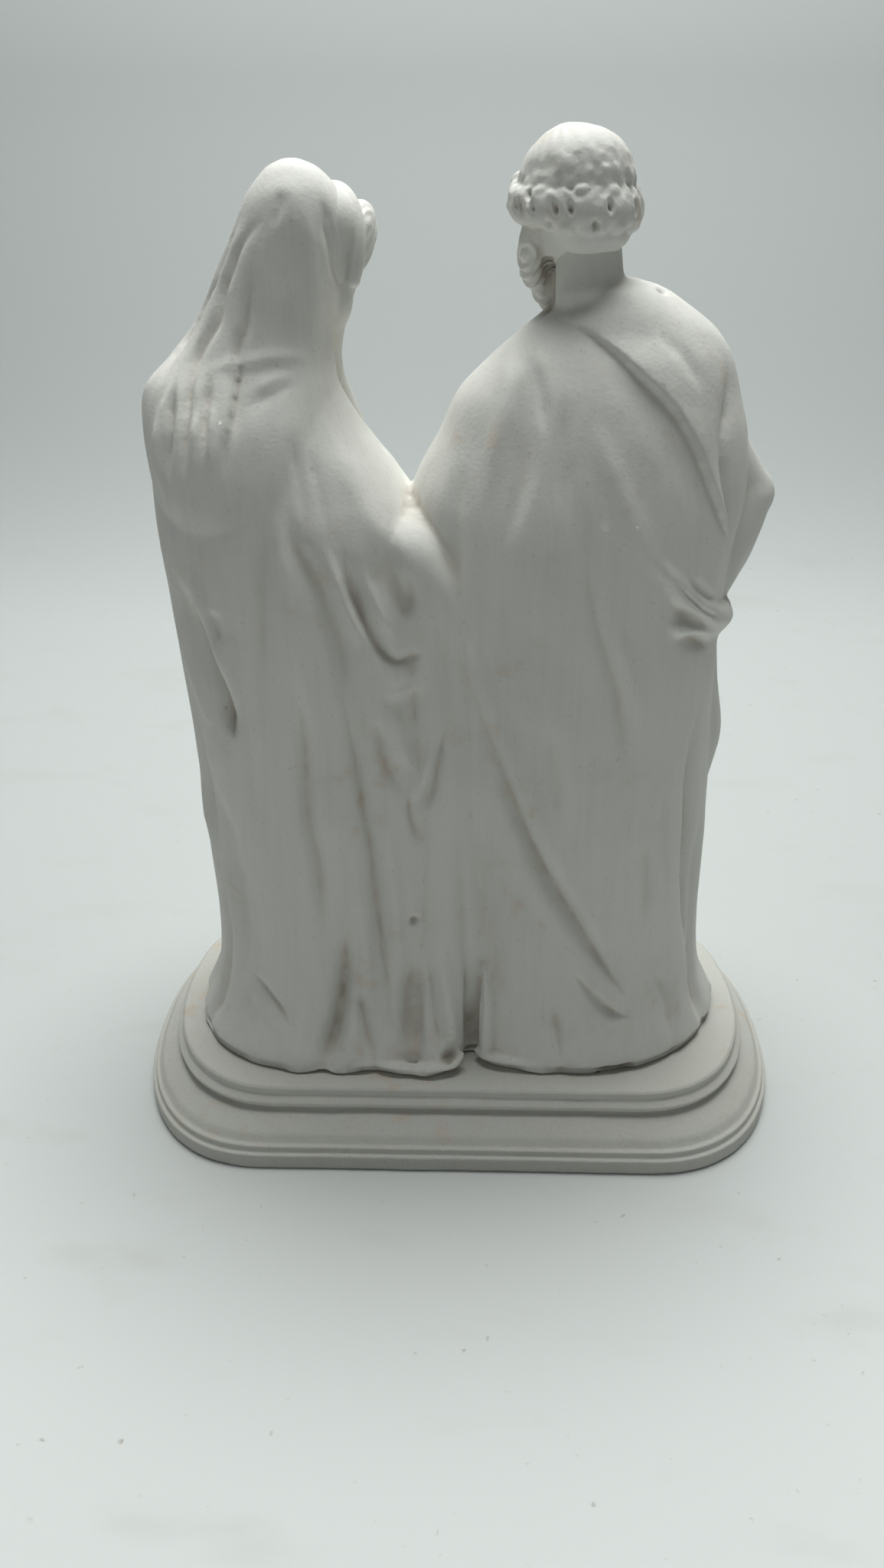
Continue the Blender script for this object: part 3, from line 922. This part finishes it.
# each hand: wrist, knuckles, fingertips, the way the palm looks, and the side of the thumb
hands = [
    ((60, -43, 178), (51, -53, 184), (42, -57, 193), (-0.3, 0.5, 0.8), 1),
    ((26, -43, 173), (19, -56, 176), (9, -60, 184), (0.1, 0.6, 0.8), 1),
    ((-49, -38, 199), (-38, -47, 202), (-26, -51, 203), (0.2, 0.6, -0.5), 1),
    ((-6, -42, 184), (-3, -54, 183), (5, -60, 187), (0.2, 0.5, 0.8), -1),
]
# each foot: the middle of the instep and the turn in degrees
feet = [((48, -43, 28.6), 4), ((-58, -41, 28.6), -8), ((-30, -43, 28.6), 6)]


def handForms(wrist, knuckle, tip, palmward, thumbSide):
    # four fingers fanned across the palm, a thumb at one side, and the palm
    wrist, knuckle, tip, palmward = (np.asarray(p, float) for p in (wrist, knuckle, tip, palmward))
    ahead = (knuckle - wrist) / np.linalg.norm(knuckle - wrist)
    side = np.cross(ahead, palmward)
    side /= np.linalg.norm(side)
    palmward = np.cross(side, ahead)
    forms = []
    for k in (-1.5, -0.5, 0.5, 1.5):
        start = knuckle + side * k * 2.5 - ahead * 0.35 * abs(k)
        reach = (tip - knuckle) * (1 - 0.08 * abs(k - 0.5))
        bend, end = start + reach * 0.55 - palmward * 0.7, start + reach + palmward * 1.2
        finger = [wrist + side * k * 1.3, start, bend, end]
        forms.append(limbForm(finger, [2.4, 2.1, 1.7, 1.35], rows=30, around=16))
    root = wrist + (knuckle - wrist) * 0.35 + side * thumbSide * 3
    joint = root + ahead * 4 + side * thumbSide * 3.2 + palmward * 1.4
    end = root + ahead * 8.5 + side * thumbSide * 3.6 + palmward * 2.6
    forms.append(limbForm([root, joint, end], [2.4, 2.0, 1.4], rows=24, around=16))
    palm = [wrist - ahead * 5, wrist, (wrist + knuckle) / 2, knuckle]
    forms.append(limbForm(palm, [3.6, 3.5, 4, 3.4], rows=24))
    return forms


def footForms(at, turn):
    # a bare foot: two sides of the instep and five toes, the big one longest
    turn = math.radians(turn)
    ahead = np.array([math.sin(turn), -math.cos(turn), 0])
    side = np.array([math.cos(turn), math.sin(turn), 0])
    at = np.asarray(at, float)
    forms = []
    for k in (-1.6, 1.6):
        across = at + side * k
        spine = [across - ahead * 12 + (0, 0, 1.2), across + (0, 0, 0.2), across + ahead * 4.5 - (0, 0, 1.7)]
        forms.append(limbForm(spine, [4.2, 3.4, 2.1]))
    for k in range(5):
        thick = 1.55 if k == 0 else 1.15 - 0.05 * k
        long = 7.6 - 0.28 * k - 0.24 * k * k
        root = at + side * (2.1 * k - 4.3) + ahead * 2.5 - (0, 0, 1.9)
        spine = [root, root + ahead * long * 0.6 + (0, 0, 0.2), root + ahead * long - (0, 0, 0.5)]
        forms.append(limbForm(spine, [thick * 1.05, thick, thick * 0.95], rows=14, around=14))
    return forms


def handsAndFeet():
    forms = []
    for hand in hands:
        forms += handForms(*hand)
    for foot in feet:
        forms += footForms(*foot)
    mesh = welded(forms, family["headVoxel"])
    setCoords(mesh, eased(coords(mesh), edgesOf(mesh), 3))
    return mesh


def thinned(mesh, faceCount):
    # fewer triangles where the skin is flat
    ratio = min(1.0, faceCount / (2 * len(mesh.polygons)))
    settings = {"decimate_type": "COLLAPSE", "ratio": ratio, "use_collapse_triangulate": True}
    return withModifier(mesh, "DECIMATE", **settings)


def recessOf(mesh, turns):
    # how deep each point lies below its smoothed surroundings, in mm, for several amounts of smoothing
    points, edges, normals = coords(mesh), edgesOf(mesh), normalsOf(mesh)
    soft, done, total = points, 0, np.zeros(len(points))
    for turn in turns:
        soft = eased(soft, edges, turn - done, 0.7)
        done = turn
        total += np.einsum("ij,ij->i", soft - points, normals)
    return total / len(turns)


def placedObject(name, mesh, recess):
    # millimetres to metres, smooth shading, and the recess as a value the finish can read
    setCoords(mesh, coords(mesh) * mm)
    values = mesh.attributes.new("recess", "FLOAT", "POINT")
    values.data.foreach_set("value", recess.astype(np.float32))
    mesh.polygons.foreach_set("use_smooth", np.ones(len(mesh.polygons), bool))
    mesh.name = name
    piece = bpy.data.objects.new(name, mesh)
    bpy.context.collection.objects.link(piece)
    say(f"{name} has {len(mesh.polygons)} triangles")
    return piece


def trianglesOf(mesh):
    # takes the points and triangles out of a mesh, and removes it
    mesh.calc_loop_triangles()
    points, faces = coords(mesh), readArray(mesh.loop_triangles, "vertices", 3, np.int32)
    bpy.data.meshes.remove(mesh)
    return points, faces


def familyParts():
    # every part of the casting, thinned to its own share of the triangles
    makers = {"father": fatherHead, "mother": motherHead, "child": childHead, "hands": handsAndFeet}
    for name, maker in {"body": bodyMesh, **makers}.items():
        yield trianglesOf(thinned(maker(), family["faces"][name]))
        say(f"{name} ready")


def familyMesh():
    # the whole casting and its recess values, with the dark hollows sunk in
    mesh = gathered("casting", list(familyParts()))
    recess = recessOf(mesh, [4, 14, 40])
    skin, facing = coords(mesh), normalsOf(mesh)
    for start, end, radius, sink, dark in hollows:
        axis = np.subtract(end, start)
        along = np.clip((skin - start) @ axis / (axis @ axis), 0, 1)
        near = hump(np.linalg.norm(skin - start - along[:, None] * axis, axis=1), radius)
        skin = skin - facing * (sink * near)[:, None]
        recess = recess + dark * near
    setCoords(mesh, skin)
    return mesh, recess


familyPiece = placedObject("family", *familyMesh())
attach(familyPiece, "root")
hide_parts("family_group")

# The plinth: a moulded profile carried round a long rounded outline.
plinth = {
    "width": 220,
    "depth": 130,
    "height": 24,
    "end": 48,
    "round": 0.86,
    "around": 560,
    "perStep": 7,
    "waviness": 0.16,
    # height and inset from the foot's outline
    "profile": [
        (0, 0.5), (0.8, 0), (5.4, 0), (6, 1.3), (8, 1.4), (8.6, 2.7), (11, 4.2), (13.8, 7.8), (16.6, 11.4),
        (17.4, 10.2), (18.9, 9.6), (20.8, 11.8), (23.2, 11.6), (24, 12.4), (24, 16), (24, 24), (24, 36),
        (24, 48),
    ],
}


def softProfile(settings):
    # the profile cut into even steps, with its corners eased
    table = np.array(settings["profile"], float)
    place = np.linspace(0, len(table) - 1, (len(table) - 1) * settings["perStep"] + 1)
    fine = np.stack([np.interp(place, np.arange(len(table)), column) for column in table.T], axis=1)
    for _ in range(2):
        fine[1:-1] = (fine[:-2] + 2 * fine[1:-1] + fine[2:]) / 4
    return fine


def plinthGrid(settings):
    # outline x = straight half + end * cos^round, y = half depth * sin^round, both drawn in by the inset
    z, inset = softProfile(settings).T[:, :, None]
    angle = np.linspace(0, 2 * np.pi, settings["around"], endpoint=False)[None, :]
    c, s = np.cos(angle), np.sin(angle)
    power = settings["round"]
    end = settings["end"] - 0.5 * inset
    x = np.sign(c) * (settings["width"] / 2 - inset - end) + end * np.sign(c) * np.abs(c) ** power
    y = (settings["depth"] / 2 - inset) * np.sign(s) * np.abs(s) ** power
    return np.stack([x, y + 0 * x, z + 0 * x], axis=-1)


def resampled(grid, count):
    # each row again, with points at even steps of length round the outline
    middle = grid[len(grid) // 3]
    closed = np.vstack([middle, middle[:1]])
    length = np.concatenate([[0], np.cumsum(np.linalg.norm(np.diff(closed, axis=0), axis=1))])
    place = np.interp(np.linspace(0, length[-1], count, endpoint=False), length, np.arange(len(closed)))
    low = place.astype(int)
    t = (place - low)[None, :, None]
    around = grid.shape[1]
    return grid[:, low % around] * (1 - t) + grid[:, (low + 1) % around] * t


def plinthMesh(settings):
    # the moulded grid, made slightly wavy, with a flat underside and top
    grid = resampled(plinthGrid(settings), settings["around"])
    flat = grid.reshape(-1, 3)
    waves = cloudNoise(flat, (14, 14, 6), 21) + 0.5 * cloudNoise(flat, (4, 4, 3), 22)
    outward = grid - np.array([0, 0, 10])
    outward[..., 0] = np.sign(outward[..., 0]) * np.maximum(np.abs(outward[..., 0]) - 60, 0)
    outward /= np.linalg.norm(outward, axis=-1, keepdims=True)
    grid = grid + outward * (settings["waviness"] * waves.reshape(grid.shape[:2]) - 0.15)[..., None]
    grid[..., 2] = np.clip(grid[..., 2], 0, settings["height"])
    grid[0, :, 2] = 0
    return meshOf("plinth_stone", *closedGrid(grid))


plinthSkin = plinthMesh(plinth)
plinthPiece = placedObject("plinth_moulded", plinthSkin, recessOf(plinthSkin, [3, 10, 30]))
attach(plinthPiece, "root")
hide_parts("plinth")

# Finishes. One group turns a place and its recess into the colour, height and roughness of aged stone.
finish = {
    "clean": (0.73, 0.72, 0.675),
    "grey": (0.60, 0.60, 0.57),
    "grime": (0.25, 0.21, 0.15),
    "warm": (0.60, 0.40, 0.24),
    "plinthClean": (0.57, 0.56, 0.51),
    "bumpHeight": 0.0006,
    "shine": 0.35,
}


def feed(tree, node, inputs):
    # a value or a link for each named or numbered input of a node
    for key, value in inputs.items():
        if isinstance(value, bpy.types.NodeSocket):
            tree.links.new(value, node.inputs[key])
        elif node.inputs[key].type == "RGBA":
            node.inputs[key].default_value = (*value, 1)
        else:
            node.inputs[key].default_value = value


def nodeOf(tree, kind, inputs=None, **settings):
    node = tree.nodes.new(kind)
    for key, value in settings.items():
        setattr(node, key, value)
    feed(tree, node, inputs or {})
    return node


def ramp(tree, source, low, high):
    # 0 below low and 1 above high
    inputs = {"Value": source, "From Min": low, "From Max": high}
    return nodeOf(tree, "ShaderNodeMapRange", inputs, interpolation_type="SMOOTHSTEP").outputs["Result"]


def maths(tree, operation, first, second, clamp=False):
    inputs = {0: first, 1: second}
    return nodeOf(tree, "ShaderNodeMath", inputs, operation=operation, use_clamp=clamp).outputs[0]


def times(tree, first, second, clamp=False):
    return maths(tree, "MULTIPLY", first, second, clamp)


def plus(tree, first, second, clamp=False):
    return maths(tree, "ADD", first, second, clamp)


def mixed(tree, factor, first, second):
    # a colour mix node has its two colours on inputs 6 and 7 and the result on output 2
    inputs = {"Factor": factor, 6: first, 7: second}
    return nodeOf(tree, "ShaderNodeMix", inputs, data_type="RGBA", clamp_factor=True).outputs[2]


def noiseOf(tree, vector, scale, detail, stretch=None):
    if stretch:
        vector = nodeOf(tree, "ShaderNodeMapping", {"Vector": vector, "Scale": stretch}).outputs["Vector"]
    inputs = {"Vector": vector, "Scale": scale, "Detail": detail}
    return nodeOf(tree, "ShaderNodeTexNoise", inputs, noise_dimensions="3D").outputs["Fac"]


def stainGroup():
    tree = bpy.data.node_groups.new("agedStone", "ShaderNodeTree")
    for title, kind in (
        ("Vector", "Vector"), ("Recess", "Float"), ("Clean", "Color"), ("Grey", "Color"), ("Grime", "Color"),
        ("Warm", "Color"), ("Grime Amount", "Float"), ("Warm Amount", "Float"),
    ):
        tree.interface.new_socket(title, in_out="INPUT", socket_type="NodeSocket" + kind)
    for title, kind in (("Color", "Color"), ("Height", "Float"), ("Roughness", "Float")):
        tree.interface.new_socket(title, in_out="OUTPUT", socket_type="NodeSocket" + kind)
    given = tree.nodes.new("NodeGroupInput").outputs
    place, recess = given["Vector"], given["Recess"]
    cloud = noiseOf(tree, place, 26, 3)
    streak = noiseOf(tree, place, 1, 3, (420, 420, 26))
    speck = noiseOf(tree, place, 850, 2)
    mottle = noiseOf(tree, place, 150, 4)
    # worn stone goes grey in streaks and clouds
    streaks = times(tree, ramp(tree, streak, 0.40, 0.75), 0.22)
    clouds = times(tree, ramp(tree, cloud, 0.40, 0.66), 0.35)
    colour = mixed(tree, plus(tree, streaks, clouds, True), given["Clean"], given["Grey"])
    # warm stains in blotches and along the creases
    blotches = times(tree, ramp(tree, mottle, 0.50, 0.74), ramp(tree, cloud, 0.48, 0.66))
    creases = times(tree, ramp(tree, recess, 0.05, 0.80), 0.35)
    stains = times(tree, plus(tree, blotches, creases), given["Warm Amount"], True)
    colour = mixed(tree, stains, colour, given["Warm"])
    # grime in the hollows and in dots
    hollow = times(tree, ramp(tree, recess, 0.15, 1.90), ramp(tree, mottle, 0.22, 0.62))
    dots = times(tree, ramp(tree, speck, 0.66, 0.74), 0.35)
    grime = times(tree, plus(tree, hollow, dots), given["Grime Amount"], True)
    colour = mixed(tree, grime, colour, given["Grime"])
    grain = plus(tree, times(tree, speck, 0.45), times(tree, streak, 0.15))
    height = plus(tree, grain, times(tree, mottle, 0.6))
    rough = plus(tree, 0.56, times(tree, mottle, 0.22))
    nodeOf(tree, "NodeGroupOutput", {"Color": colour, "Height": height, "Roughness": rough})
    return tree


agedStone = stainGroup()


def newMaterial(name):
    material = bpy.data.materials.new(name)
    material.use_nodes = True
    tree = material.node_tree
    return material, tree, nodeOf(tree, "ShaderNodeTexCoord").outputs["Object"]


def stoneMaterial(name, clean, grime, warm, bump):
    material, tree, place = newMaterial(name)
    recess = nodeOf(tree, "ShaderNodeAttribute", attribute_name="recess").outputs["Fac"]
    stone = nodeOf(tree, "ShaderNodeGroup", {
        "Vector": place, "Recess": recess, "Clean": clean, "Grey": finish["grey"], "Grime": finish["grime"],
        "Warm": finish["warm"], "Grime Amount": grime, "Warm Amount": warm,
    }, node_tree=agedStone).outputs
    inputs = {"Strength": bump, "Distance": finish["bumpHeight"], "Height": stone["Height"]}
    feed(tree, tree.nodes["Principled BSDF"], {
        "Base Color": stone["Color"], "Roughness": stone["Roughness"], "Specular IOR Level": finish["shine"],
        "Normal": nodeOf(tree, "ShaderNodeBump", inputs).outputs["Normal"],
    })
    return material


familyPiece.data.materials.append(stoneMaterial("white_stone_aged", finish["clean"], 0.55, 0.30, 0.32))
plinthPiece.data.materials.append(stoneMaterial("plinth_stone_aged", finish["plinthClean"], 0.6, 0.40, 0.6))

# The stage, in metres: one sheet of pale paper that runs back and sweeps up behind the figurine.
stage = {
    "width": 3.0,
    "near": 1.4,
    "bend": -0.42,
    "radius": 0.34,
    "top": 1.3,
    "farFloor": (0.54, 0.56, 0.55),
    "nearFloor": (0.72, 0.74, 0.725),
    "lowWall": (0.43, 0.45, 0.445),
    "highWall": (0.59, 0.615, 0.605),
    "scuff": (0.48, 0.48, 0.45),
    "speck": (0.42, 0.40, 0.35),
}


def stageMesh(settings):
    # a flat run, a quarter circle of the given radius, and a straight wall
    turn = np.linspace(0, np.pi / 2, 25)
    bend, radius = settings["bend"], settings["radius"]
    y = np.concatenate([[settings["near"]], bend - radius * np.sin(turn), [bend - radius]])
    z = np.concatenate([[0], radius * (1 - np.cos(turn)), [settings["top"]]])
    left = np.stack([np.full_like(y, -settings["width"] / 2), y, z], axis=1)
    count = len(y)
    row = np.arange(count - 1)
    faces = np.column_stack([row, row + 1, row + 1 + count, row + count])
    mesh = bpy.data.meshes.new("stage")
    mesh.from_pydata(np.vstack([left, left * (-1, 1, 1)]).tolist(), [], faces.tolist())
    mesh.update()
    mesh.polygons.foreach_set("use_smooth", np.ones(len(mesh.polygons), bool))
    return mesh


def stageMaterial(settings):
    # a floor that is lighter near the camera, with scuffs and specks, and a wall that is lighter high up
    material, tree, place = newMaterial("pale_paper")
    apart = nodeOf(tree, "ShaderNodeSeparateXYZ", {0: place}).outputs
    near = ramp(tree, apart["Y"], -0.06, 0.18)
    ground = mixed(tree, near, settings["farFloor"], settings["nearFloor"])
    scuffs = times(tree, ramp(tree, noiseOf(tree, place, 14, 6, (1, 2.2, 1)), 0.55, 0.80), 0.35)
    ground = mixed(tree, scuffs, ground, settings["scuff"])
    specks = ramp(tree, noiseOf(tree, place, 240, 4), 0.68, 0.80)
    ground = mixed(tree, specks, ground, settings["speck"])
    wall = mixed(tree, ramp(tree, apart["Z"], 0.10, 0.42), settings["lowWall"], settings["highWall"])
    far = ramp(tree, times(tree, apart["Y"], -1.0), 0.42, 0.66)
    colour = mixed(tree, far, ground, wall)
    inputs = {"Base Color": colour, "Roughness": 0.75, "Specular IOR Level": 0.2}
    feed(tree, tree.nodes["Principled BSDF"], inputs)
    return material


floor = bpy.data.objects.new("floor", stageMesh(stage))
bpy.context.collection.objects.link(floor)
floor.data.materials.append(stageMaterial(stage))


def areaLight(name, at, target, size, energy, colour):
    light = bpy.data.lights.new(name, "AREA")
    light.shape = "DISK"
    light.size, light.energy, light.color = size, energy, colour
    lamp = bpy.data.objects.new(name, light)
    bpy.context.collection.objects.link(lamp)
    lamp.location = at
    lamp.rotation_euler = (Vector(target) - Vector(at)).to_track_quat("-Z", "Y").to_euler()


areaLight("ceiling", (-0.03, -0.26, 1.2), (0, -0.05, 0.1), 0.85, 17.2, (0.97, 1.0, 0.985))
areaLight("fill", (0.7, 1.2, 0.8), (0, 0, 0.15), 1.2, 0.5, (0.95, 0.98, 1.0))


def roomLight():
    # a dim room for the light, and a pale grey one where the camera looks past the stage
    world = bpy.data.worlds.new("room")
    world.use_nodes = True
    tree = world.node_tree
    dim = tree.nodes["Background"]
    feed(tree, dim, {"Color": (0.93, 0.98, 1.0), "Strength": 0.095})
    pale = nodeOf(tree, "ShaderNodeBackground", {"Color": (0.43, 0.465, 0.46)})
    seen = nodeOf(tree, "ShaderNodeLightPath").outputs["Is Camera Ray"]
    either = nodeOf(tree, "ShaderNodeMixShader", {0: seen, 1: dim.outputs[0], 2: pale.outputs[0]})
    feed(tree, tree.nodes["World Output"], {"Surface": either.outputs[0]})
    return world


scene = bpy.context.scene
scene.world = roomLight()
scene.view_settings.view_transform = "Standard"

# The photo's camera: a hand-held phone that looks down on the figurine's back.
cameraData = bpy.data.cameras.new("camera")
cameraData.sensor_fit = "VERTICAL"
cameraData.sensor_height = 36
cameraData.lens = 28.125
camera = bpy.data.objects.new("camera", cameraData)
bpy.context.collection.objects.link(camera)
camera.location = (-0.0020, 0.35705, 0.298)
camera.rotation_euler = Vector((0.0200, -0.8827, -0.4695)).to_track_quat("-Z", "Y").to_euler()
scene.camera = camera
